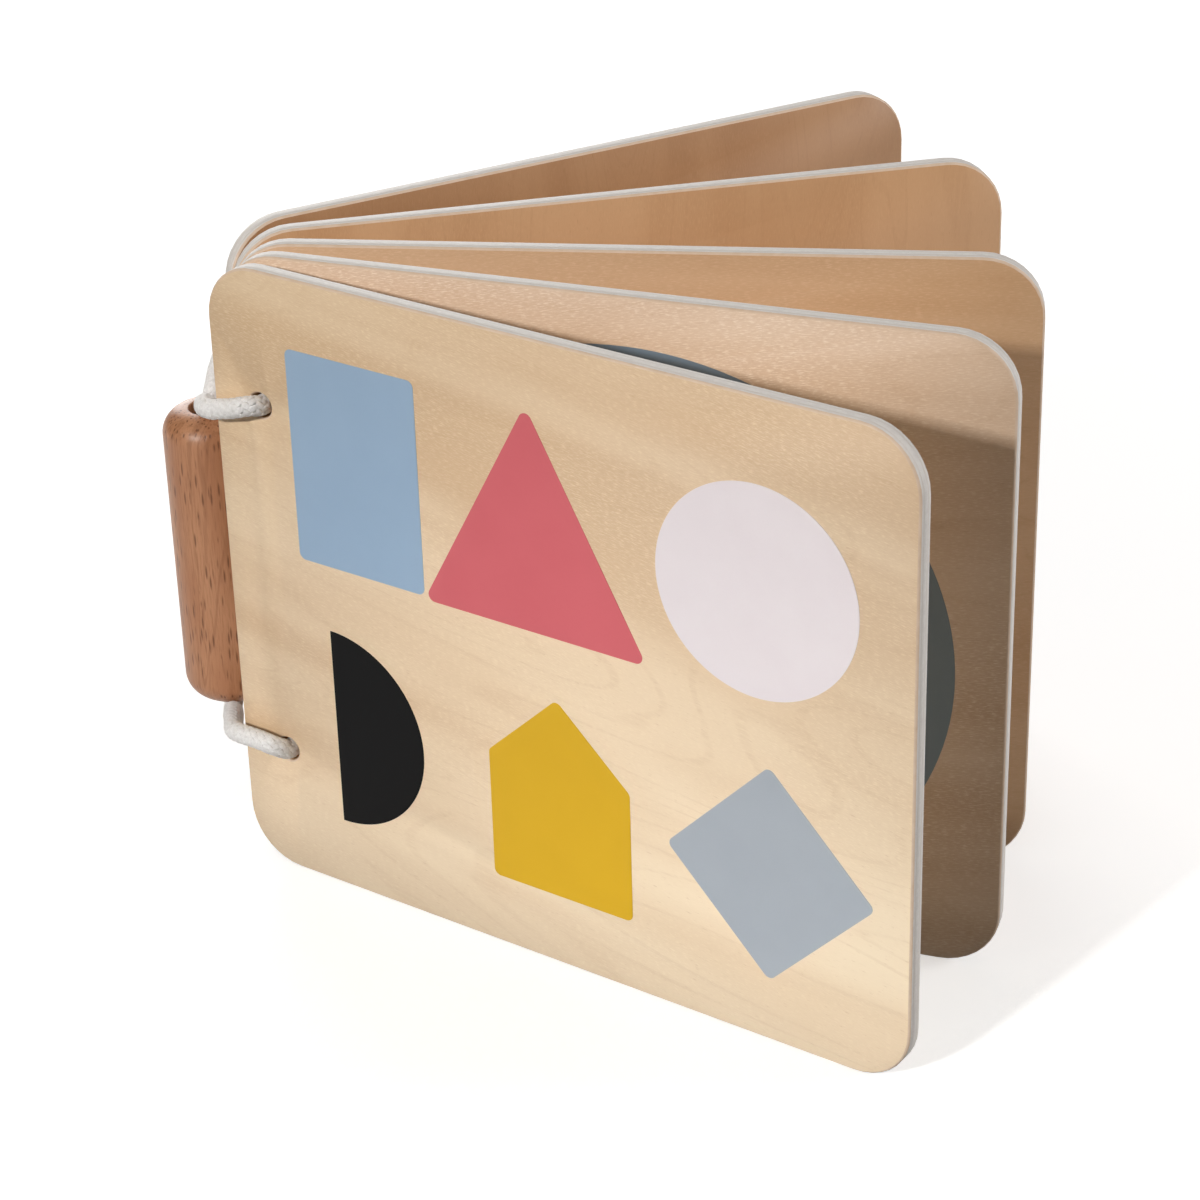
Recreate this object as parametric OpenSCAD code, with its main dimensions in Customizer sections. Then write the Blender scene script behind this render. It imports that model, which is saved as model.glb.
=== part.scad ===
// A wooden baby book: five thin plywood boards laced on a cord that also runs through a wooden dowel.
// It stands on its lower edges, opened like a fan. The front cover faces -Y, the spine is on the left.

/* [Boards] */
// Width of each board, from the spine edge to the outer edge
board_w = 130; // [115:1:150]
// Height of each board
board_h = 110; // [100:1:140]
// Thickness of each board
board_t = 3.1; // [2.8:0.1:4]
// Radius of the four corners of each board
corner_r = 10; // [6:0.5:14]
// Bevel left by sanding along both faces of each board
arris = 0.35; // [0.2:0.05:0.5]
// Space between two boards when the book is closed
board_gap = 0.3; // [0.2:0.05:0.6]
// Direction of each board from the spine in degrees, front cover first
fan = [-27.7, -13, 0, 19, 35.4]; // [-40:0.1:40]

/* [Lacing holes] */
// Diameter of the holes
hole_d = 4.3; // [4.2:0.1:5]
// Distance of the holes from the spine edge
hole_in = 9.6; // [8:0.2:12]
// Distance of the holes from the top and bottom edges
hole_edge = 23.3; // [20:0.5:30]
// Width of the bevel around each hole
hole_bevel = 0.3; // [0.1:0.05:0.4]

/* [Dowel] */
// Diameter of the dowel
dowel_d = 16.8; // [14:0.2:19]
// Length of the dowel
dowel_l = 54.5; // [45:0.5:62]
// Flat rim left at each end between the rounding and the hole
dowel_rim = 0.45; // [0.3:0.05:1.5]
// Space between the dowel and the back cover's spine edge
dowel_gap = 0.6; // [0.5:0.1:2]
// How far the middle of the dowel hangs below the middle of the boards
dowel_drop = 8; // [0:0.5:9]
// Diameter of the hole along the dowel
bore_d = 7.2; // [7.1:0.1:8]

/* [Cord] */
// Diameter of the cord
cord_d = 3.4; // [3:0.1:3.4]

/* [Printed shapes] */
// Thickness of the printed colour
ink_t = 0.08; // [0.05:0.01:0.1]
// Rounding of the printed shapes' corners
ink_r = 1.2; // [0.4:0.1:2]

/* [Hidden] */
$fn = 96;
eps = 0.5;
corner_steps = 9;
cord_sides = 8;
hole_z = [hole_edge, board_h - hole_edge];

// The spine edge of each board's front face: every board starts half a gap behind the hinge line
// at the back of the board before it.
function along(k) = [cos(fan[k]), sin(fan[k]), 0];
function across(k) = [-sin(fan[k]), cos(fan[k]), 0];
function spine(k) = k == 0
    ? [0, 0, 0]
    : spine(k - 1) + (board_t + board_gap / 2) * across(k - 1) + board_gap / 2 * across(k);
function on_board(k, u, off, z) = spine(k) + u * along(k) + off * across(k) + [0, 0, z];

// Middle of the dowel, behind and to the left of the back cover's spine edge
dowel_r = dowel_d / 2;
dowel_side = 133;
dowel_at = on_board(4, 0, board_t, board_h / 2 - dowel_drop)
    + (dowel_r + dowel_gap) * [cos(dowel_side), sin(dowel_side), 0];
dowel_top = dowel_at.z + dowel_l / 2;
dowel_foot = dowel_at.z - dowel_l / 2;

// The origin is the middle of the book's footprint, on the ground.
rim = [for (k = [0:4]) each [
    for (u = [arris, board_w - arris]) each [on_board(k, u, 0, 0), on_board(k, u, board_t, 0)],
    for (u = [0, board_w]) each [on_board(k, u, arris, 0), on_board(k, u, board_t - arris, 0)]
]];
low_x = min(dowel_at.x - dowel_r, min([for (p = rim) p.x]));
high_x = max([for (p = rim) p.x]);
low_y = min([for (p = rim) p.y]);
high_y = max([for (p = rim) p.y]);
origin = [-(low_x + high_x) / 2, -(low_y + high_y) / 2, 0];

// Outline of a board as seen on its face, drawn in by inset
function outline(inset) = [
    for (c = [[1, 1, 0], [0, 1, 90], [0, 0, 180], [1, 0, 270]])
        for (i = [0:corner_steps])
            let (a = c[2] + 90 * i / corner_steps)
            [
                c[0] * board_w + (1 - 2 * c[0]) * corner_r + (corner_r - inset) * cos(a),
                c[1] * board_h + (1 - 2 * c[1]) * corner_r + (corner_r - inset) * sin(a)
            ]
];
function ring(inset, off) = [for (p = outline(inset)) [p.x, off, p.y]];

// A tube between rings of equal length, closed by its first and last ring
function skin_faces(rings, n) = concat(
    [[for (i = [0:n - 1]) i]],
    [for (r = [0:rings - 2]) for (i = [0:n - 1])
        [r * n + i, (r + 1) * n + i, (r + 1) * n + (i + 1) % n, r * n + (i + 1) % n]],
    [[for (i = [n - 1:-1:0]) (rings - 1) * n + i]]
);

module place(k) {
    translate(origin + spine(k)) rotate([0, 0, fan[k]]) children();
}

module lacing_hole(z) {
    translate([hole_in, 0, z]) rotate([-90, 0, 0]) {
        translate([0, 0, -eps]) cylinder(d = hole_d, h = board_t + 2 * eps);
        translate([0, 0, -eps]) cylinder(d1 = hole_d + 2 * (hole_bevel + eps), d2 = hole_d, h = hole_bevel + eps);
        translate([0, 0, board_t - hole_bevel])
            cylinder(d1 = hole_d, d2 = hole_d + 2 * (hole_bevel + eps), h = hole_bevel + eps);
    }
}

module board(k) {
    rings = [ring(arris, 0), ring(0, arris), ring(0, board_t - arris), ring(arris, board_t)];
    points = [for (r = rings) each r];
    place(k) difference() {
        polyhedron(points, skin_faces(len(rings), len(rings[0])));
        for (z = hole_z) lacing_hole(z);
    }
}

module front_cover() { color("burlywood") board(0); }
module page_1() { color("burlywood") board(1); }
module page_2() { color("tan") board(2); }
module page_3() { color("tan") board(3); }
module back_cover() { color("tan") board(4); }

// The dowel is turned: a straight side, two rounded ends and a hole from end to end.
module dowel() {
    half = dowel_l / 2;
    dowel_round = dowel_r - bore_d / 2 - dowel_rim;
    bend = [for (a = [0:10:90]) [
        dowel_r - dowel_round + dowel_round * cos(a),
        half - dowel_round + dowel_round * sin(a)
    ]];
    profile = concat(
        bend,
        [[bore_d / 2, half], [bore_d / 2, -half]],
        [for (i = [len(bend) - 1:-1:0]) [bend[i].x, -bend[i].y]]
    );
    color("peru") translate(origin + dowel_at) rotate_extrude() polygon(profile);
}

// The cord leaves the dowel's hole upwards, crosses the front cover's spine edge, goes through the
// upper holes to the back, down through the dowel, through the lower holes to the front and up
// into the dowel again, where its two ends meet.
strand = cord_d / 2 + 0.05;
bore_front = [dowel_at.x, dowel_at.y - strand, 0];
bore_back = [dowel_at.x, dowel_at.y + strand, 0];
end_space = 0.3;

// Along the cover's face near a hole: distance from the hole along the board, off the face, up
upper_mouth = [[-6.4, -2.8, -1], [-3.6, -2.7, -0.3], [-1.6, -2.3, 0.3], [-0.5, -1.5, 0.4], [-0.1, -0.7, 0.2]];
lower_mouth = [[-0.1, -0.7, 0.3], [-0.4, -1.6, 0.9], [-1.4, -2.5, 1.6], [-3.6, -2.8, 2], [-6.4, -2.8, 2]];

// The free stretches: each row is how far along the stretch it is, from 0 to 1, and then how far
// the cord lies off the straight line between the two ends
upper_front = [
    [0.03, -0.2, 0.1, 0.8], [0.08, -0.4, 0, 1.2], [0.165, -0.5, 0, 1], [0.29, -0.8, 0, 1.1], [0.436, -1.1, 0, 1],
    [0.625, -1.4, 0, 1.1], [0.793, -1.9, 0, 0.9], [0.91, -2, 0, 0.3], [0.973, -0.9, 0, -0.1]
];
upper_back = [
    [0.04, 0, 1.1, 0.7], [0.12, 0, 1.9, 2.3], [0.27, 0, 2.1, 4.7], [0.45, 0, 2.2, 6.6], [0.64, 0, 2.2, 7.3],
    [0.81, 0, 2, 6.7], [0.917, 0, 1.6, 4.8], [0.974, 0, 1, 2.5], [1, 0, 0.2, 1.05]
];
lower_back = [
    [0.006, 0, 0.2, -0.9], [0.026, 0, 1.2, -2.2], [0.083, 0, 2.7, -2.7], [0.218, 0, 4.3, -2.8], [0.41, 0, 4.8, -2.3],
    [0.615, 0, 4.4, -1], [0.782, 0, 3.4, 0.1], [0.89, 0, 2.1, 0.3], [0.96, 0, 1.1, 0.2]
];
lower_front = [
    [0.027, -0.9, 0, 0.1], [0.09, -2, 0, 0.2], [0.207, -1.9, 0, 0.5], [0.375, -1.4, 0, 0.7], [0.564, -1.1, 0, 0],
    [0.694, -1, 0, -1.8], [0.79, -0.9, 0, -3], [0.89, -0.6, 0, -3.2], [0.958, -0.3, 0, -2.3], [0.996, 0, 0, -0.9]
];
function near_hole(rows, z) = [for (r = rows) on_board(0, hole_in + r[0], r[1], z + r[2])];
function stretch(rows, a, b) = [for (r = rows) a + r[0] * (b - a) + [r[1], r[2], r[3]]];
function up(v, z) = v + [0, 0, z];
function through(z, order) = [
    for (k = order) each (order[0] == 0
        ? [on_board(k, hole_in, 0, z), on_board(k, hole_in, board_t, z)]
        : [on_board(k, hole_in, board_t, z), on_board(k, hole_in, 0, z)])
];
mouth_up = near_hole(upper_mouth, hole_z[1]);
mouth_low = near_hole(lower_mouth, hole_z[0]);
back_up = on_board(4, hole_in, board_t, hole_z[1]);
back_low = on_board(4, hole_in, board_t, hole_z[0]);
route = concat(
    [up(bore_front, dowel_at.z + end_space), up(bore_front, dowel_at.z + dowel_l / 4), up(bore_front, dowel_top)],
    stretch(upper_front, up(bore_front, dowel_top), mouth_up[0]),
    mouth_up, through(hole_z[1], [0, 1, 2, 3, 4]),
    stretch(upper_back, back_up, up(bore_back, dowel_top)),
    [up(bore_back, dowel_top), up(bore_back, dowel_at.z), up(bore_back, dowel_foot)],
    stretch(lower_back, up(bore_back, dowel_foot), back_low),
    through(hole_z[0], [4, 3, 2, 1, 0]), mouth_low,
    stretch(lower_front, mouth_low[len(mouth_low) - 1], up(bore_front, dowel_foot)),
    [up(bore_front, dowel_foot), up(bore_front, dowel_at.z - dowel_l / 4), up(bore_front, dowel_at.z - end_space)]
);

function unit(v) = v / norm(v);
function heading(i) = unit(route[min(i + 1, len(route) - 1)] - route[max(i - 1, 0)]);
// A side direction carried along the route, so that the tube doesn't twist
function sides(i = 0, side = [1, 0, 0]) =
    let (s = unit(side - (side * heading(i)) * heading(i)))
    i == len(route) - 1 ? [s] : concat([s], sides(i + 1, s));

module binding_cord() {
    s = sides();
    points = [
        for (i = [0:len(route) - 1]) for (j = [0:cord_sides - 1])
            let (a = -360 * j / cord_sides)
            route[i] + cord_d / 2 * (cos(a) * s[i] + sin(a) * cross(heading(i), s[i]))
    ];
    color("white") translate(origin) polyhedron(points, skin_faces(len(route), cord_sides), convexity = 6);
}

// A printed shape lies on the front face of board k. Its place and size are shares of the board's
// width and height. A straight-sided one is given by its corners in a square from -0.5 to 0.5.
module printed(k, place_uz) {
    place(k) translate([place_uz.x * board_w, 0, place_uz.y * board_h])
        rotate([90, 0, 0]) linear_extrude(ink_t) children();
}

module sized(corners, share) {
    size = [share.x * board_w - 2 * ink_r, share.y * board_h - 2 * ink_r];
    offset(r = ink_r, $fn = 32) polygon([for (p = corners) [p.x * size.x, p.y * size.y]]);
}

module cover_block() {
    corners = [[-0.5, -0.5], [0.5, -0.5], [0.5, 0.5], [-0.5, 0.5]];
    color("lightsteelblue") printed(0, [0.2175, 0.723]) sized(corners, [0.195, 0.336]);
}

module cover_triangle() {
    corners = [[-0.5, -0.5], [0.5, -0.5], [0, 0.5]];
    color("indianred") printed(0, [0.478, 0.719]) sized(corners, [0.313, 0.338]);
}

module cover_disc() {
    color("lavenderblush") printed(0, [0.791, 0.714]) circle(d = 0.32 * board_h);
}

module cover_half_moon() {
    r = 0.164 * board_h;
    color("black") printed(0, [0.16, 0.282]) intersection() {
        circle(r = r);
        translate([0, -r]) square([r, 2 * r]);
    }
}

module cover_house() {
    corners = [[-0.5, -0.5], [0.5, -0.5], [0.5, 0.15], [0, 0.5], [-0.5, 0.15]];
    color("goldenrod") printed(0, [0.507, 0.282]) sized(corners, [0.209, 0.327]);
}

module cover_kite() {
    corners = [[-0.5, 0], [0, -0.5], [0.5, 0], [0, 0.5]];
    color("lightslategray") printed(0, [0.808, 0.277]) sized(corners, [0.28, 0.34]);
}

module page_1_oval() {
    color("steelblue") printed(1, [0.522, 0.473]) scale([0.414 * board_w, 0.4527 * board_h]) circle(r = 1);
}

module page_2_disc() { color("indianred") printed(2, [0.52, 0.47]) circle(r = 0.31 * board_h); }
module page_3_disc() { color("goldenrod") printed(3, [0.52, 0.44]) circle(r = 0.27 * board_h); }
module back_cover_disc() { color("lightslategray") printed(4, [0.52, 0.42]) circle(r = 0.25 * board_h); }

front_cover();
page_1();
page_2();
page_3();
back_cover();
dowel();
binding_cord();
cover_block();
cover_triangle();
cover_disc();
cover_half_moon();
cover_house();
cover_kite();
page_1_oval();
page_2_disc();
page_3_disc();
back_cover_disc();
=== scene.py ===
"""Looks of the wooden baby book: veneered plywood boards, printed shapes, a cord and a dowel."""

import math

import bmesh
import bpy
import numpy as np
from mathutils import Matrix, Vector


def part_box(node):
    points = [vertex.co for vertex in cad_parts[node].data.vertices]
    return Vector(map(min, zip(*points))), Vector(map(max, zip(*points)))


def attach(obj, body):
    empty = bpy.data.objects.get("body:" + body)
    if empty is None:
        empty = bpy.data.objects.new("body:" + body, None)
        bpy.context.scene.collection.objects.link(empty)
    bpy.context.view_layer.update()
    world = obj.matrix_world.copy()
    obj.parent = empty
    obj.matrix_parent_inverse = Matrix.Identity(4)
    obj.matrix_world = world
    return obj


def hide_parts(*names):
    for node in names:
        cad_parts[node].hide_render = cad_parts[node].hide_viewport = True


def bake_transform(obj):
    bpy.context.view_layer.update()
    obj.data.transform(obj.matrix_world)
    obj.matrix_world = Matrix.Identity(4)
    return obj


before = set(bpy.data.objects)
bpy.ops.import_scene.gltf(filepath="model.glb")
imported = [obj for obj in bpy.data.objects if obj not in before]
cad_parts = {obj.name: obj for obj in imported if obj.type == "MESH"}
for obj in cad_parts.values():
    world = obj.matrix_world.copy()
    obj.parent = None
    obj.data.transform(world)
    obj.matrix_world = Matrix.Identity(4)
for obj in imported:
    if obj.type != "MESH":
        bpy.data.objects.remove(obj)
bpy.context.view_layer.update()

# Sizes in metres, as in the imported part
MM = 0.001
BOARD_T, BOARD_GAP = 3.1 * MM, 0.3 * MM
FAN = [-27.7, -13, 0, 19, 35.4]  # each board's heading, in degrees
BOARDS = ["front_cover", "page_1", "page_2", "page_3", "back_cover"]
HOLE_IN = 9.6 * MM
HOLE_Z = [23.3 * MM, 86.7 * MM]
DOWEL_R, DOWEL_L, DOWEL_RIM = 8.4 * MM, 54.5 * MM, 0.45 * MM
BORE_R, BORE_BEVEL = 3.6 * MM, 0.2 * MM
CORD_R = 1.7 * MM


def along(k):
    a = math.radians(FAN[k])
    return Vector((math.cos(a), math.sin(a), 0))


def across(k):
    a = math.radians(FAN[k])
    return Vector((-math.sin(a), math.cos(a), 0))


def spine_points():
    """The spine edge of each board's front face, the first at the origin."""
    points = [Vector((0, 0, 0))]
    for k in range(1, 5):
        step = (BOARD_T + BOARD_GAP / 2) * across(k - 1) + BOARD_GAP / 2 * across(k)
        points.append(points[-1] + step)
    return points


SPINE = spine_points()
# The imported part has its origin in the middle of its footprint: the corner of the middle board's
# box gives the shift between it and the first board's spine edge.
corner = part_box("page_2")[0]
ORIGIN = Vector((corner.x - SPINE[2].x, corner.y - SPINE[2].y, 0))
dowel_low, dowel_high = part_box("dowel")
DOWEL = (dowel_low + dowel_high) / 2


def on_board(k, u, off, z):
    """The point u along board k from its spine edge, off behind its front face, at height z."""
    return ORIGIN + SPINE[k] + u * along(k) + off * across(k) + Vector((0, 0, z))


def add_object(name, data):
    made = bpy.data.objects.new(name, data)
    bpy.context.collection.objects.link(made)
    return made


def mesh_from(bm, name):
    mesh = bpy.data.meshes.new(name)
    bm.to_mesh(mesh)
    bm.free()
    return mesh


# Camera: fitted to the photograph's edges, its place counted from ORIGIN

LENS, SENSOR = 96.91, 36
CAMERA_AT = Vector((0.12428, -0.46519, 0.29683))
CAMERA_RIGHT = Vector((0.99247, 0.11956, -0.02662))
CAMERA_DOWN = Vector((0.03205, -0.46323, -0.88566))
CAMERA_AHEAD = Vector((-0.11822, 0.87814, -0.46357))


def make_camera():
    data = bpy.data.cameras.new("camera")
    data.lens = LENS
    data.sensor_width = SENSOR
    data.dof.use_dof = False
    data.clip_start, data.clip_end = 0.01, 20
    camera = add_object("camera", data)
    place = Matrix((CAMERA_RIGHT, -CAMERA_DOWN, -CAMERA_AHEAD)).transposed().to_4x4()
    place.translation = ORIGIN + CAMERA_AT
    camera.matrix_world = place
    bpy.context.scene.camera = camera


make_camera()


# Node helpers

class Nodes:
    """Short names for building one node tree."""

    def __init__(self, tree):
        self.tree = tree

    def new(self, kind, **settings):
        node = self.tree.nodes.new(kind)
        for key, value in settings.items():
            setattr(node, key, value)
        return node

    def link(self, source, target):
        self.tree.links.new(source, target)

    def put(self, value, socket):
        """Link a node's output to the socket, or set a constant on it."""
        if isinstance(value, bpy.types.NodeSocket):
            self.link(value, socket)
        else:
            socket.default_value = value

    def place(self):
        return self.new("ShaderNodeTexCoord").outputs["Object"]

    def split(self, vector):
        node = self.new("ShaderNodeSeparateXYZ")
        self.link(vector, node.inputs[0])
        return node.outputs

    def math(self, operation, a, b=0.0):
        node = self.new("ShaderNodeMath", operation=operation)
        self.put(a, node.inputs[0])
        self.put(b, node.inputs[1])
        return node.outputs[0]

    def times(self, a, b):
        return self.math("MULTIPLY", a, b)

    def stretch(self, vector, scale=(1, 1, 1), turn=(0, 0, 0), move=(0, 0, 0)):
        node = self.new("ShaderNodeMapping")
        self.link(vector, node.inputs["Vector"])
        node.inputs["Location"].default_value = move
        node.inputs["Rotation"].default_value = turn
        node.inputs["Scale"].default_value = scale
        return node.outputs[0]

    def noise(self, at, scale, detail, rough, distort=0.0, **shift):
        """Noise over a position that is first stretched by scale, and turned or moved by shift."""
        node = self.new("ShaderNodeTexNoise")
        self.link(self.stretch(at, scale, **shift), node.inputs["Vector"])
        node.inputs["Scale"].default_value = 1.0
        node.inputs["Detail"].default_value = detail
        node.inputs["Roughness"].default_value = rough
        node.inputs["Distortion"].default_value = distort
        return node.outputs["Fac"]

    def ramp(self, value, low, high, a=0.0, b=1.0):
        """A smooth step from a, where the value is low, to b, where it is high."""
        node = self.new("ShaderNodeMapRange", interpolation_type="SMOOTHSTEP")
        self.link(value, node.inputs["Value"])
        node.inputs["From Min"].default_value = low
        node.inputs["From Max"].default_value = high
        node.inputs["To Min"].default_value = a
        node.inputs["To Max"].default_value = b
        return node.outputs["Result"]

    def mix(self, factor, a, b):
        node = self.new("ShaderNodeMix", data_type="RGBA")
        self.put(factor, node.inputs[0])
        self.put(a, node.inputs[6])
        self.put(b, node.inputs[7])
        return node.outputs[2]

    def bump(self, height, strength, distance):
        node = self.new("ShaderNodeBump")
        self.link(height, node.inputs["Height"])
        node.inputs["Strength"].default_value = strength
        node.inputs["Distance"].default_value = distance
        return node.outputs["Normal"]


PER_METRE = (1000, 1000, 1000)  # a stretch that counts in millimetres


def linear(r, g, b):
    """A colour given as 0 to 255, as linear values."""
    values = []
    for c in (r, g, b):
        c = c / 255
        values.append(c / 12.92 if c <= 0.04045 else ((c + 0.055) / 1.055) ** 2.4)
    return (*values, 1.0)


def material(name, rough, specular):
    m = bpy.data.materials.new(name)
    m.use_nodes = True
    m.node_tree.nodes.clear()
    n = Nodes(m.node_tree)
    shader = n.new("ShaderNodeBsdfPrincipled")
    out = n.new("ShaderNodeOutputMaterial")
    n.link(shader.outputs[0], out.inputs["Surface"])
    shader.inputs["Roughness"].default_value = rough
    shader.inputs["Specular IOR Level"].default_value = specular
    return m, n, shader


def board_space(n, k):
    """Millimetres along board k, through it and up, from its spine edge's foot."""
    foot = ORIGIN + SPINE[k]
    moved = n.stretch(n.place(), move=(-foot.x, -foot.y, 0))
    turned = n.stretch(moved, turn=(0, 0, -math.radians(FAN[k])))
    return n.stretch(turned, PER_METRE)


# Wood

def veneer(name, k, base, dark, pale, tilt, glint_fleck_amount, painted_light, seed):
    """Sliced birch: slow bands and fine rings along the grain, pale flecks partly painted as
    glints, fine pores, and a painted sheen towards the lower outer corner.
    """
    m, n, shader = material(name, rough=0.46, specular=0.35)
    at = board_space(n, k)
    grain = n.stretch(at, turn=(0, math.radians(tilt), 0), move=(seed, seed, seed))
    bands = n.noise(grain, (0.006, 0.02, 0.05), detail=3, rough=0.5, distort=0.6)
    field = n.noise(grain, (0.007, 0.02, 0.035), detail=1.5, rough=0.4, distort=0.9)
    rings = n.ramp(n.math("SINE", n.times(field, 130.0)), 0.72, 1.0)
    thin = n.noise(grain, (0.05, 1, 1.6), detail=4, rough=0.6)
    fibre = n.noise(grain, (0.28, 1, 5.0), detail=3, rough=0.65)
    fleck = n.noise(grain, (0.85, 1, 5.5), detail=3, rough=0.62, turn=(0, math.radians(2), 0))
    patch = n.noise(grain, (0.03, 1, 0.045), detail=2, rough=0.5)
    pores = n.noise(grain, (0.6, 1, 4.5), detail=2, rough=0.5, move=(9, 0, 4))

    place = n.split(at)
    # Painted sheen and bounce light: the board turns paler towards its lower outer corner.
    painted_light_place = n.math("SUBTRACT", n.times(place["X"], 0.6), place["Z"])
    base = n.mix(n.ramp(painted_light_place, -75, 75, 0.0, painted_light), base, pale)
    colour = n.mix(n.ramp(bands, 0.32, 0.68), dark, pale)
    colour = n.mix(0.66, colour, base)
    colour = n.mix(n.times(rings, n.ramp(thin, 0.35, 0.65, 0.03, 0.17)), colour, dark)
    colour = n.mix(n.ramp(fibre, 0.55, 0.8, 0.0, 0.22), colour, dark)
    colour = n.mix(n.ramp(pores, 0.62, 0.76, 0.0, 0.45), colour, dark)
    # Pale flecks: partly the wood's paler ray flecks, partly a painted glint.
    fleck_and_glint = n.times(n.ramp(fleck, 0.46, 0.7), n.ramp(patch, 0.3, 0.7, glint_fleck_amount * 0.5, glint_fleck_amount))
    n.link(n.mix(fleck_and_glint, colour, pale), shader.inputs["Base Color"])
    n.link(n.ramp(fleck_and_glint, 0, 1, 0.5, 0.38), shader.inputs["Roughness"])
    height = n.math("ADD", n.times(fibre, 0.7), n.times(thin, 0.3))
    n.link(n.bump(height, 0.16, 0.00004), shader.inputs["Normal"])
    return m


PLY_JOINTS = (0.95, 2.15)  # millimetres behind the front face


def painted_edge(name, k, seed):
    """A pale painted edge in which the plies still show as faint lines."""
    m, n, shader = material(name, rough=0.6, specular=0.3)
    at = board_space(n, k)
    wobble = n.noise(at, (0.35, 0.35, 0.35), detail=3, rough=0.6, move=(seed, 0, 0))
    sway = n.times(n.math("SUBTRACT", wobble, 0.5), 0.35)
    depth = n.math("ADD", n.split(at)["Y"], sway)
    far = [n.math("ABSOLUTE", n.math("SUBTRACT", depth, joint)) for joint in PLY_JOINTS]
    line = n.math("MAXIMUM", *[n.ramp(d, 0.05, 0.28, 1.0, 0.0) for d in far])
    broken = n.noise(at, (0.6, 0.6, 0.6), detail=4, rough=0.7, move=(0, seed, 0))
    line = n.times(line, n.ramp(broken, 0.35, 0.7, 0.05, 0.4))
    speck = n.noise(at, (2.2, 3.5, 2.2), detail=3, rough=0.7)
    colour = n.mix(n.ramp(broken, 0.3, 0.7), linear(220, 214, 209), linear(232, 228, 223))
    colour = n.mix(line, colour, linear(176, 160, 143))
    colour = n.mix(n.ramp(speck, 0.58, 0.75, 0.0, 0.5), colour, linear(186, 174, 160))
    n.link(colour, shader.inputs["Base Color"])
    height = n.math("SUBTRACT", n.times(speck, 0.5), line)
    n.link(n.bump(height, 0.25, 0.00006), shader.inputs["Normal"])
    return m


def arris_wood(name, k):
    """The sanded bevel, where the bare veneer shows through as a thin warm line."""
    m, n, shader = material(name, rough=0.55, specular=0.3)
    wear = n.noise(board_space(n, k), (0.4, 0.4, 0.4), detail=4, rough=0.6)
    colour = n.mix(n.ramp(wear, 0.35, 0.7), linear(226, 202, 180), linear(218, 192, 166))
    n.link(colour, shader.inputs["Base Color"])
    return m


def hole_wood():
    """The drilled walls: end grain, darker inside."""
    m, n, shader = material("hole_wall", rough=0.7, specular=0.2)
    grain = n.noise(n.place(), (900, 900, 900), detail=3, rough=0.6)
    colour = n.mix(grain, linear(176, 132, 92), linear(206, 166, 126))
    n.link(colour, shader.inputs["Base Color"])
    return m


# Each board's veneer: its colours, the grain's tilt from the board's length in degrees, how much
# pale fleck with painted glint it has, and how much painted sheen and bounce light turn its lower
# outer corner paler
FACES = [
    dict(base=(221, 192, 156), dark=(200, 164, 123), pale=(254, 235, 205),
         tilt=-9, glint_fleck_amount=0.5, painted_light=0.9),
    dict(base=(218, 188, 160), dark=(194, 158, 124), pale=(246, 227, 206),
         tilt=8, glint_fleck_amount=0.85, painted_light=0),
    # The inner boards are darker and warmer in turn: partly their own tone, partly painted shade
    # and painted warm bounce light from the boards in front of them.
    dict(base=(209, 170, 130), dark=(188, 145, 105), pale=(230, 196, 160),
         tilt=3, glint_fleck_amount=0.5, painted_light=0),
    dict(base=(202, 158, 117), dark=(178, 133, 92), pale=(218, 176, 135),
         tilt=88, glint_fleck_amount=0.35, painted_light=0),
    dict(base=(178, 134, 95), dark=(154, 110, 73), pale=(194, 152, 112),
         tilt=91, glint_fleck_amount=0.35, painted_light=0),
]
HOLE_WALL = hole_wood()

# Slots of a board's materials, and how squarely a surface faces along the board's thickness to be
# one of its two sides, or a bevel. Surface within HOLE_ZONE of a hole's axis belongs to the hole.
VENEER, ARRIS, EDGE, WALL = range(4)
SIDE_LEAN, BEVEL_LEAN = 0.99, 0.3
HOLE_ZONE = 3 * MM


def smooth_by_angle(mesh, degrees):
    mesh.shade_smooth()
    mesh.set_sharp_from_angle(angle=math.radians(degrees))


def make_board(k):
    """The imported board's own surface, its veneer, bevels, edge and hole walls told apart."""
    node = BOARDS[k]
    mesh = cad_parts[node].data.copy()
    mesh.name = node + "_wood"
    board = add_object(node + "_wood", mesh)
    mesh.materials.clear()
    bm = bmesh.new()
    bm.from_mesh(mesh)
    bmesh.ops.remove_doubles(bm, verts=bm.verts, dist=1e-6)
    foot, d, n = ORIGIN + SPINE[k], along(k), across(k)
    for face in bm.faces:
        middle = face.calc_center_median() - foot
        lean = abs(face.normal.dot(n))
        hole = min(math.hypot(middle.dot(d) - HOLE_IN, middle.z - z) for z in HOLE_Z)
        if lean > SIDE_LEAN:
            face.material_index = VENEER
        elif lean > BEVEL_LEAN:
            face.material_index = ARRIS
        else:
            face.material_index = WALL if hole < HOLE_ZONE else EDGE
    bm.to_mesh(mesh)
    bm.free()
    look = dict(FACES[k])
    for colour in ("base", "dark", "pale"):
        look[colour] = linear(*look[colour])
    mesh.materials.append(veneer(node + "_veneer", k, seed=37.0 * k + 5, **look))
    mesh.materials.append(arris_wood(node + "_arris", k))
    mesh.materials.append(painted_edge(node + "_edge", k, seed=11.0 * k + 3))
    mesh.materials.append(HOLE_WALL)
    smooth_by_angle(mesh, 30)
    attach(board, node)
    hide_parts(node)


for k in range(len(BOARDS)):
    make_board(k)


# Printed shapes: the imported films, with a satin ink that follows the grain under it

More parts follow.
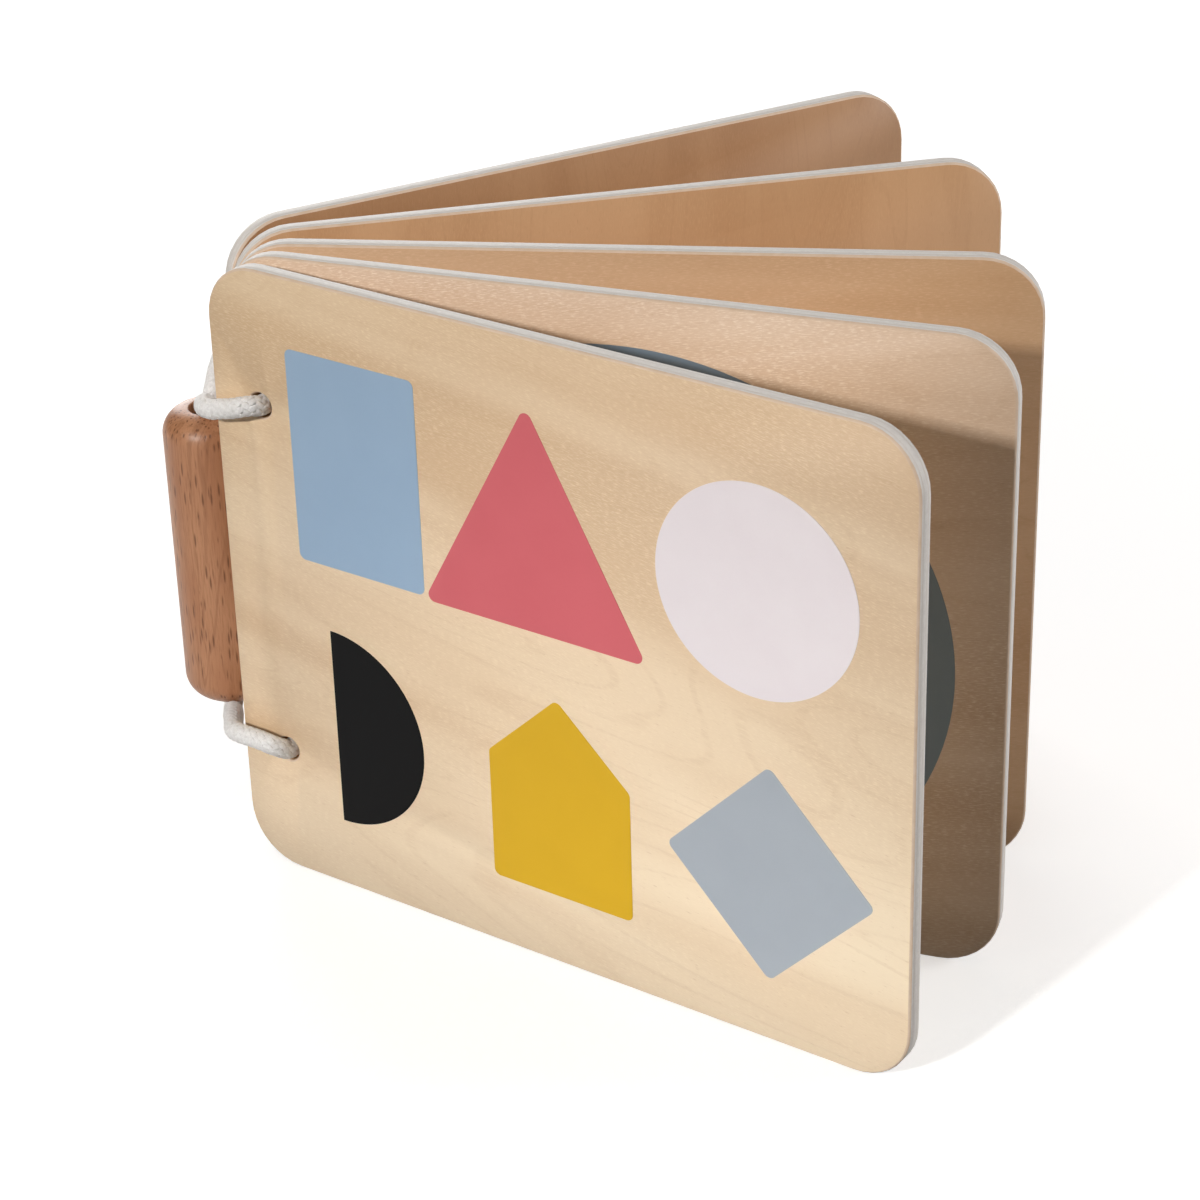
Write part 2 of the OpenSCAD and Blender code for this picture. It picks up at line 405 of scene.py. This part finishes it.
def ink(name, k, colour, shade):
    # The black reflects less than the other colours, or it would look grey.
    black = max(colour) < 50
    m, n, shader = material(name, rough=0.42, specular=0.08 if black else 0.3)
    at = board_space(n, k)
    cloud = n.noise(at, (0.09, 1, 0.09), detail=3, rough=0.5)
    fine = n.noise(at, (0.9, 1, 4.0), detail=3, rough=0.6)
    tone = n.mix(n.ramp(cloud, 0.3, 0.7, 0.0, 0.4), linear(*colour), linear(*shade))
    tone = n.mix(n.ramp(fine, 0.5, 0.85, 0.0, 0.25), tone, linear(*shade))
    n.link(tone, shader.inputs["Base Color"])
    n.link(n.ramp(cloud, 0.3, 0.7, 0.4, 0.47), shader.inputs["Roughness"])
    n.link(n.bump(fine, 0.1, 0.00003), shader.inputs["Normal"])
    return m


# Each film's board, its colour and a shade of it for its clouds
INKS = {
    "cover_block": (0, (155, 181, 207), (149, 175, 202)),
    "cover_triangle": (0, (211, 103, 110), (206, 98, 105)),
    "cover_disc": (0, (236, 228, 231), (230, 220, 224)),
    "cover_half_moon": (0, (6, 6, 7), (10, 10, 11)),
    "cover_house": (0, (214, 170, 27), (208, 164, 25)),
    "cover_kite": (0, (166, 173, 181), (159, 166, 175)),
    "page_1_oval": (1, (122, 140, 158), (114, 132, 150)),
    "page_2_disc": (2, (205, 104, 110), (198, 98, 103)),
    "page_3_disc": (3, (212, 168, 48), (205, 160, 42)),
    "back_cover_disc": (4, (160, 168, 176), (152, 160, 169)),
}
for node, (k, colour, shade) in INKS.items():
    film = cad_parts[node]
    film.data.materials.clear()
    film.data.materials.append(ink(node + "_ink", k, colour, shade))


# Dowel: a turned beech grip

TURNS, ARC_STEPS = 96, 12


def beech():
    """Reddish wood with faint rings and the short dark dashes of its rays."""
    m, n, shader = material("beech", rough=0.4, specular=0.4)
    at = n.stretch(n.stretch(n.place(), move=tuple(-DOWEL)), PER_METRE)
    field = n.noise(at, (0.09, 0.16, 0.012), detail=2, rough=0.5, distort=0.7,
                    move=(3.1, 1.7, 0.4))
    rings = n.ramp(n.math("SINE", n.times(field, 70.0)), 0.55, 1.0)
    fibre = n.noise(at, (3.2, 3.2, 0.22), detail=3, rough=0.65)
    cell = n.new("ShaderNodeTexVoronoi", feature="F1")
    n.link(n.stretch(at, (1.5, 1.5, 0.2)), cell.inputs["Vector"])
    cell.inputs["Scale"].default_value = 1.0
    cell.inputs["Randomness"].default_value = 1.0
    dash = n.ramp(cell.outputs["Distance"], 0.14, 0.36, 1.0, 0.0)
    thin = n.noise(at, (0.8, 0.8, 0.2), detail=2, rough=0.5)
    fleck = n.times(dash, n.ramp(thin, 0.28, 0.42))
    patch = n.noise(at, (0.15, 0.15, 0.04), detail=2, rough=0.5)
    colour = n.mix(n.ramp(patch, 0.3, 0.7), linear(192, 139, 102), linear(172, 117, 81))
    colour = n.mix(n.ramp(fibre, 0.4, 0.75, 0.0, 0.55), colour, linear(146, 95, 64))
    colour = n.mix(n.times(rings, 0.35), colour, linear(140, 90, 58))
    colour = n.mix(n.times(fleck, 0.8), colour, linear(104, 62, 38))
    n.link(colour, shader.inputs["Base Color"])
    height = n.math("SUBTRACT", n.times(fibre, 0.4), fleck)
    n.link(n.bump(height, 0.3, 0.00008), shader.inputs["Normal"])
    return m


def make_dowel():
    """A lathe shape: bore, flat rim, rounded end and straight side."""
    half = DOWEL_L / 2
    bend = DOWEL_R - BORE_R - DOWEL_RIM
    quarter = [math.pi / 2 * i / ARC_STEPS for i in range(ARC_STEPS + 1)]
    upper = [(BORE_R, half - BORE_BEVEL), (BORE_R + BORE_BEVEL, half)]
    upper += [(DOWEL_R - bend + bend * math.sin(a), half - bend + bend * math.cos(a))
              for a in quarter]
    side = [(DOWEL_R, z * half) for z in (0.5, 0.25, 0, -0.25, -0.5)]
    lower = [(r, -z) for r, z in reversed(upper)]
    bore = [(BORE_R, z * half) for z in (-0.5, 0, 0.5)]
    profile = upper + side + lower + bore
    bm = bmesh.new()
    columns = []
    for i in range(TURNS):
        a = 2 * math.pi * i / TURNS
        columns.append([bm.verts.new(DOWEL + Vector((r * math.cos(a), r * math.sin(a), z)))
                        for r, z in profile])
    count = len(profile)
    for i in range(TURNS):
        a, b = columns[i], columns[(i + 1) % TURNS]
        for j in range(count):
            bm.faces.new((a[j], a[(j + 1) % count], b[(j + 1) % count], b[j]))
    bmesh.ops.recalc_face_normals(bm, faces=bm.faces)
    mesh = mesh_from(bm, "dowel_wood")
    mesh.materials.append(beech())
    smooth_by_angle(mesh, 40)
    dowel = add_object("dowel_wood", mesh)
    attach(dowel, "dowel")
    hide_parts("dowel")


make_dowel()


# Cord: the route repeats the part's, in millimetres.
# Mouths: along the cover from the hole, behind its face, and up. Stretches: the share of the way
# between their two ends, and the shift from that straight line.

UPPER_MOUTH = [
    (-6.4, -2.8, -1), (-3.6, -2.7, -0.3), (-1.6, -2.3, 0.3), (-0.5, -1.5, 0.4),
    (-0.1, -0.7, 0.2),
]
LOWER_MOUTH = [
    (-0.1, -0.7, 0.3), (-0.4, -1.6, 0.9), (-1.4, -2.5, 1.6), (-3.6, -2.8, 2), (-6.4, -2.8, 2),
]
UPPER_FRONT = [
    (0.03, -0.2, 0.1, 0.8), (0.08, -0.4, 0, 1.2), (0.165, -0.5, 0, 1), (0.29, -0.8, 0, 1.1),
    (0.436, -1.1, 0, 1), (0.625, -1.4, 0, 1.1), (0.793, -1.9, 0, 0.9), (0.91, -2, 0, 0.3),
    (0.973, -0.9, 0, -0.1),
]
UPPER_BACK = [
    (0.04, 0, 1.1, 0.7), (0.12, 0, 1.9, 2.3), (0.27, 0, 2.1, 4.7), (0.45, 0, 2.2, 6.6),
    (0.64, 0, 2.2, 7.3), (0.81, 0, 2, 6.7), (0.917, 0, 1.6, 4.8), (0.974, 0, 1, 2.5),
    (1, 0, 0.2, 1.05),
]
LOWER_BACK = [
    (0.006, 0, 0.2, -0.9), (0.026, 0, 1.2, -2.2), (0.083, 0, 2.7, -2.7), (0.218, 0, 4.3, -2.8),
    (0.41, 0, 4.8, -2.3), (0.615, 0, 4.4, -1), (0.782, 0, 3.4, 0.1), (0.89, 0, 2.1, 0.3),
    (0.96, 0, 1.1, 0.2),
]
LOWER_FRONT = [
    (0.027, -0.9, 0, 0.1), (0.09, -2, 0, 0.2), (0.207, -1.9, 0, 0.5), (0.375, -1.4, 0, 0.7),
    (0.564, -1.1, 0, 0), (0.694, -1, 0, -1.8), (0.79, -0.9, 0, -3), (0.89, -0.6, 0, -3.2),
    (0.958, -0.3, 0, -2.3), (0.996, 0, 0, -0.9),
]
STRAND = CORD_R + 0.05 * MM  # from the bore's axis to each of the two strands inside it
# Shares of a front strand from the hole on: the cover holds the first, and each of the others lies
# across one joint, the cover's first and the dowel's last, and stays where it is made.
FRONT_CUTS = [0, 0.32, 0.46, 0.58, 0.69, 0.79, 1]


def near_hole(rows, z):
    """Points round the mouth of the cover's hole at height z."""
    return [on_board(0, HOLE_IN + x * MM, y * MM, z + h * MM) for x, y, h in rows]


def stretch(rows, a, b):
    """Points from a to b, each shifted from the straight line."""
    return [a + s * (b - a) + Vector((x, y, z)) * MM for s, x, y, z in rows]


def bore_point(side, z):
    return Vector((DOWEL.x, DOWEL.y + side * STRAND, z))


def cord_route():
    """The route's points, and for each stretch its name and its first and last point's number."""
    top, foot = DOWEL.z + DOWEL_L / 2, DOWEL.z - DOWEL_L / 2
    join = 0.3 * MM  # each end of the cord stops this far from the dowel's middle
    low, up = HOLE_Z
    points, marks = [], {}

    def add(name, new):
        start = max(len(points) - 1, 0)
        points.extend(new)
        marks[name] = (start, len(points) - 1)

    def front_face(k, z):
        return on_board(k, HOLE_IN, 0, z)

    def back_face(k, z):
        return on_board(k, HOLE_IN, BOARD_T, z)

    mouth_up, mouth_low = near_hole(UPPER_MOUTH, up), near_hole(LOWER_MOUTH, low)
    add("bore_start", [bore_point(-1, z) for z in (DOWEL.z + join, DOWEL.z + DOWEL_L / 4, top)])
    front = stretch(UPPER_FRONT, bore_point(-1, top), mouth_up[0]) + mouth_up
    add("front_up", front + [front_face(0, up)])
    for k in range(5):
        if k:
            add("gap_up_%d" % k, [front_face(k, up)])
        add("hole_up_%d" % k, [back_face(k, up)])
    back = stretch(UPPER_BACK, back_face(4, up), bore_point(1, top))
    add("back_up", back + [bore_point(1, top)])
    add("bore_back", [bore_point(1, DOWEL.z), bore_point(1, foot)])
    back = stretch(LOWER_BACK, bore_point(1, foot), back_face(4, low))
    add("back_low", back + [back_face(4, low)])
    for k in (4, 3, 2, 1, 0):
        if k < 4:
            add("gap_low_%d" % (k + 1), [back_face(k, low)])
        add("hole_low_%d" % k, [front_face(k, low)])
    front = mouth_low + stretch(LOWER_FRONT, mouth_low[-1], bore_point(-1, foot))
    add("front_low", front + [bore_point(-1, foot)])
    add("bore_end", [bore_point(-1, z) for z in (DOWEL.z - DOWEL_L / 4, DOWEL.z - join)])
    return points, marks


def between(u, v, lo, hi, t):
    """The point at t on the line that has u at lo and v at hi."""
    return (hi - t) / (hi - lo) * u + (t - lo) / (hi - lo) * v


def smooth_path(points, step):
    """A Catmull-Rom curve through the points in short steps, and each point's place on it."""
    p = np.array([tuple(v) for v in points])
    ends = np.vstack([2 * p[0] - p[1], p, 2 * p[-1] - p[-2]])
    out, places = [], [0]
    for a, b, c, d in zip(ends, ends[1:], ends[2:], ends[3:]):
        k = [0.0]
        for q, r in ((a, b), (b, c), (c, d)):
            k.append(k[-1] + max(np.linalg.norm(r - q), 1e-7) ** 0.5)
        count = max(2, int(round(np.linalg.norm(c - b) / step)))
        for t in np.linspace(k[1], k[2], count, endpoint=False):
            ab, bc = between(a, b, k[0], k[1], t), between(b, c, k[1], k[2], t)
            cd = between(c, d, k[2], k[3], t)
            first, second = between(ab, bc, k[0], k[2], t), between(bc, cd, k[1], k[3], t)
            out.append(between(first, second, k[1], k[2], t))
        places.append(len(out))
    out.append(p[-1])
    return np.array(out), places


def carried_frames(path):
    """Two side directions along the path, without twist."""
    heading = np.gradient(path, axis=0)
    heading /= np.linalg.norm(heading, axis=1)[:, None]
    side = np.zeros_like(path)
    v = np.array([1.0, 0, 0])
    for i, h in enumerate(heading):
        v = v - v @ h * h
        v /= np.linalg.norm(v)
        side[i] = v
    return side, np.cross(heading, side)


# Braid: a core, and yarns each way round it, sunk into the cord and rippling over and under
YARNS = 8
PITCH = 11.0 * MM
CORE_R = CORD_R * 0.8
YARN_HALF_WIDTH, YARN_HALF_THICK = 0.62 * MM, 0.2 * MM
YARN_SUNK, YARN_RIPPLE = 0.25 * MM, 0.085 * MM
CORE_SIDES, YARN_SIDES = 12, 6
PATH_STEP = 0.35 * MM


def tube(bm, centres, axes_a, axes_b, radius_a, radius_b, sides):
    """Rings round the centres, joined. The ends stay open: they meet the next piece."""
    rings = []
    angles = [2 * math.pi * j / sides for j in range(sides)]
    for c, a, b in zip(centres, axes_a, axes_b):
        rings.append([bm.verts.new(c + a * radius_a * math.cos(t) + b * radius_b * math.sin(t))
                      for t in angles])
    for r, s in zip(rings, rings[1:]):
        for j in range(sides):
            bm.faces.new((r[j], r[(j + 1) % sides], s[(j + 1) % sides], s[j]))


def braid_piece(name, path, frames, dist, first, last, mat):
    """The cord from sample first to last: a core, and flat yarns that wind both ways."""
    span = slice(first, last + 1)
    side, other = (f[span] for f in frames)
    p, turn = path[span], 2 * math.pi * dist[span] / PITCH
    bm = bmesh.new()
    tube(bm, p, side, other, CORE_R, CORE_R, CORE_SIDES)
    for way in (1, -1):
        radius = CORD_R - YARN_SUNK + way * YARN_RIPPLE * np.cos(YARNS * turn)
        for k in range(YARNS):
            angle = way * turn + 2 * math.pi * k / YARNS
            out = side * np.cos(angle)[:, None] + other * np.sin(angle)[:, None]
            c = p + out * radius[:, None]
            run = np.gradient(c, axis=0)
            run /= np.linalg.norm(run, axis=1)[:, None]
            wide = np.cross(run, out)
            tube(bm, c, wide, out, YARN_HALF_WIDTH, YARN_HALF_THICK, YARN_SIDES)
    mesh = mesh_from(bm, name)
    mesh.shade_smooth()
    mesh.materials.append(mat)
    piece = add_object(name, mesh)
    return piece


def cotton():
    """Off-white, with a fine fuzz and faint soiled patches."""
    m, n, shader = material("cotton", rough=0.85, specular=0.2)
    at = n.stretch(n.place(), PER_METRE)
    fuzz = n.noise(at, (2.2, 2.2, 2.2), detail=4, rough=0.7)
    soil = n.noise(at, (0.25, 0.25, 0.25), detail=2, rough=0.5)
    colour = n.mix(n.ramp(fuzz, 0.3, 0.7), linear(234, 232, 231), linear(252, 251, 250))
    colour = n.mix(n.ramp(soil, 0.4, 0.7, 0.0, 0.15), colour, linear(214, 208, 202))
    n.link(colour, shader.inputs["Base Color"])
    shader.inputs["Subsurface Weight"].default_value = 0.15
    shader.inputs["Subsurface Radius"].default_value = (0.0006, 0.0006, 0.0006)
    shader.inputs["Sheen Weight"].default_value = 0.25
    n.link(n.bump(fuzz, 0.35, 0.00012), shader.inputs["Normal"])
    return m


def make_cord():
    """Each stretch of the cord as pieces that follow the bodies which hold it; those across joints
    stay put.
    """
    points, marks = cord_route()
    path, places = smooth_path(points, PATH_STEP)
    frames = carried_frames(path)
    dist = np.concatenate([[0], np.cumsum(np.linalg.norm(np.diff(path, axis=0), axis=1))])
    mat = cotton()
    chain = BOARDS + ["cord"]
    made = []

    def piece(name, a, b):
        first, last = min(a, b), max(a, b)
        made.append(braid_piece("cord_" + name, path, frames, dist, first, last, mat))
        return made[-1]

    def bend(name, a, b, body_a, body_b):
        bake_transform(piece(name, a, b))

    for name, (start, end) in marks.items():
        first, last = places[start], places[end]
        kind, row = name.rsplit("_", 1)
        if kind == "bore":
            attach(piece(name, first, last), "cord")
        elif kind in ("hole_up", "hole_low"):
            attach(piece(name, first, last), BOARDS[int(row)])
        elif kind == "gap_up":
            bend(name, first, last, BOARDS[int(row) - 1], BOARDS[int(row)])
        elif kind == "gap_low":
            bend(name, first, last, BOARDS[int(row)], BOARDS[int(row) - 1])
        elif name == "back_up":
            bend(name, first, last, "back_cover", "cord")
        elif name == "back_low":
            bend(name, first, last, "cord", "back_cover")
        else:
            shares = [1 - c for c in FRONT_CUTS] if name == "front_up" else FRONT_CUTS
            cuts = [first + round((last - first) * c) for c in shares]
            for i, (a, b) in enumerate(zip(cuts, cuts[1:])):
                if i:
                    bend("%s_%d" % (name, i), a, b, chain[i - 1], chain[i])
                else:
                    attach(piece("%s_%d" % (name, i), a, b), "front_cover")
    for p in made:
        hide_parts("binding_cord")


make_cord()


# Stage and light

FLOOR_HALF = 4
WHITE = (1, 1, 1)
# Square lamps: name, place, the point aimed at, side, watts, colour, spread in degrees
LAMPS = [
    ("key", (-0.793, -1.234, 0.801), (0, -0.02, 0.05), 0.11, 17.5, (1, 0.985, 0.96), 180),
    ("side", (0.95, 0.12, 0.3), (0, 0, 0.05), 0.4, 5.8, WHITE, 180),
    ("back", (-0.45, 1.2, 0.4), (0, 0, 0.05), 0.7, 10.0, WHITE, 180),
    ("low", (-0.389, -0.678, 0.025), (0.06, -0.07, -0.05), 0.1, 0.1, WHITE, 30),
    ("top", (0, 0.2, 1.6), (0, 0, 0), 1.4, 3.4, WHITE, 180),
]


def make_floor():
    bm = bmesh.new()
    bmesh.ops.create_grid(bm, x_segments=1, y_segments=1, size=FLOOR_HALF)
    floor = add_object("floor", mesh_from(bm, "floor"))
    paper, _, shader = material("floor_paper", rough=0.9, specular=0.1)
    shader.inputs["Base Color"].default_value = (0.75, 0.75, 0.75, 1)
    shader.inputs["Emission Color"].default_value = (1, 1, 1, 1)
    shader.inputs["Emission Strength"].default_value = 0.56
    floor.data.materials.append(paper)
    # The floor's brightness isn't thrown back on the book, as with a cut-out picture.
    floor.visible_diffuse = False


def make_lamp(name, place, target, side, watts, colour, spread):
    data = bpy.data.lights.new(name, "AREA")
    data.shape = "SQUARE"
    data.size = side
    data.energy = watts
    data.color = colour
    data.spread = math.radians(spread)
    lamp = add_object(name, data)
    lamp.location = place
    lamp.visible_camera = False
    lamp.rotation_euler = (Vector(target) - Vector(place)).to_track_quat("-Z", "Y").to_euler()


def make_world():
    world = bpy.data.worlds.new("studio")
    bpy.context.scene.world = world
    world.use_nodes = True
    back = world.node_tree.nodes["Background"]
    back.inputs["Color"].default_value = (1, 0.86, 0.72, 1)
    back.inputs["Strength"].default_value = 0.07


make_floor()
make_world()
for lamp in LAMPS:
    make_lamp(*lamp)
bpy.context.scene.view_settings.view_transform = "Standard"
